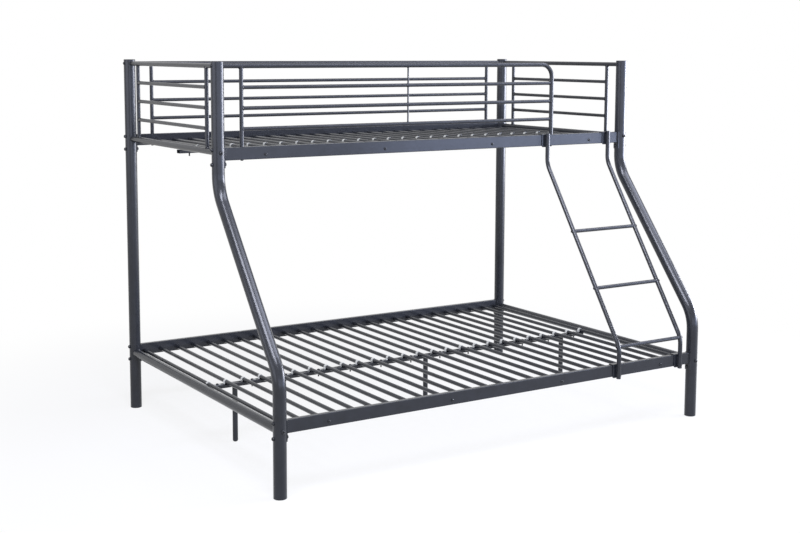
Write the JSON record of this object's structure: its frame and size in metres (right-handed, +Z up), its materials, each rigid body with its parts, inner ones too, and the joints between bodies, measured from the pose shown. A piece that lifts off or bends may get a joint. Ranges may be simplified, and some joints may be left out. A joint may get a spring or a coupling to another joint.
{
  "type": "bunk bed",
  "caption": "Steel-tube bunk bed: a narrow guarded upper bunk over a wide lower bed, on bent front posts, with slat decks and a slanted ladder that hooks over the front rails.",
  "frame": {"origin": "on the floor under the middle of the whole outline", "axes": "+X along the bed towards the ladder end, +Y from the ladder side to the back, +Z up"},
  "size_m": [2.104, 1.4843, 1.564],
  "materials": {
    "graphite_powder_coat": "satin graphite powder coat on steel tube",
    "black_plastic": "moulded black plastic",
    "zinc_plate": "bright zinc plated sheet",
    "black_fasteners": "black coated steel"
  },
  "bodies": {
    "bed_frame": {"back_guard": "graphite_powder_coat", "back_left_post": "graphite_powder_coat", "back_left_post_foot": "black_plastic", "back_lower_side_rail": "graphite_powder_coat", "back_right_post": "graphite_powder_coat", "back_right_post_foot": "black_plastic", "back_upper_side_rail": "graphite_powder_coat", "end_guard_bolts": "black_fasteners", "front_guard": "graphite_powder_coat", "front_left_post": "graphite_powder_coat", "front_left_post_foot": "black_plastic", "front_lower_side_rail": "graphite_powder_coat", "front_right_post": "graphite_powder_coat", "front_right_post_foot": "black_plastic", "front_upper_side_rail": "graphite_powder_coat", "guard_foot_screws": "black_fasteners", "left_centre_leg": "graphite_powder_coat", "left_centre_leg_foot": "black_plastic", "left_end_guard": "graphite_powder_coat", "left_lower_end_rail": "graphite_powder_coat", "lower_centre_rail": "graphite_powder_coat", "lower_end_rail_bolts": "black_fasteners", "lower_slat_ferrules": "black_plastic", "lower_slat_straps": "zinc_plate", "lower_slats": "graphite_powder_coat", "lower_strap_screws": "black_fasteners", "middle_centre_leg": "graphite_powder_coat", "middle_centre_leg_foot": "black_plastic", "post_caps": "black_plastic", "post_top_nut": "black_fasteners", "post_top_screws": "black_fasteners", "right_centre_leg": "graphite_powder_coat", "right_centre_leg_foot": "black_plastic", "right_end_guard": "graphite_powder_coat", "right_lower_end_rail": "graphite_powder_coat", "side_rail_bolts": "black_fasteners", "side_rail_nuts": "black_fasteners", "slat_screws": "black_fasteners", "upper_centre_rail": "graphite_powder_coat", "upper_slat_ferrules": "black_plastic", "upper_slat_straps": "zinc_plate", "upper_slats": "graphite_powder_coat", "upper_strap_screws": "black_fasteners"},
    "ladder": {"ladder_end_caps": "black_plastic", "ladder_left_lower_hook": "graphite_powder_coat", "ladder_left_rail": "graphite_powder_coat", "ladder_left_upper_hook": "graphite_powder_coat", "ladder_right_lower_hook": "graphite_powder_coat", "ladder_right_rail": "graphite_powder_coat", "ladder_right_upper_hook": "graphite_powder_coat", "ladder_rung_1": "graphite_powder_coat", "ladder_rung_2": "graphite_powder_coat", "ladder_rung_3": "graphite_powder_coat", "ladder_rung_screws": "black_fasteners"}
  },
  "joints": [
    {"name": "ladder_lift_off", "type": "slide", "parent": "bed_frame", "child": "ladder", "axis": [0, 0, 1], "range_m": [0, 0.04]}
  ]
}
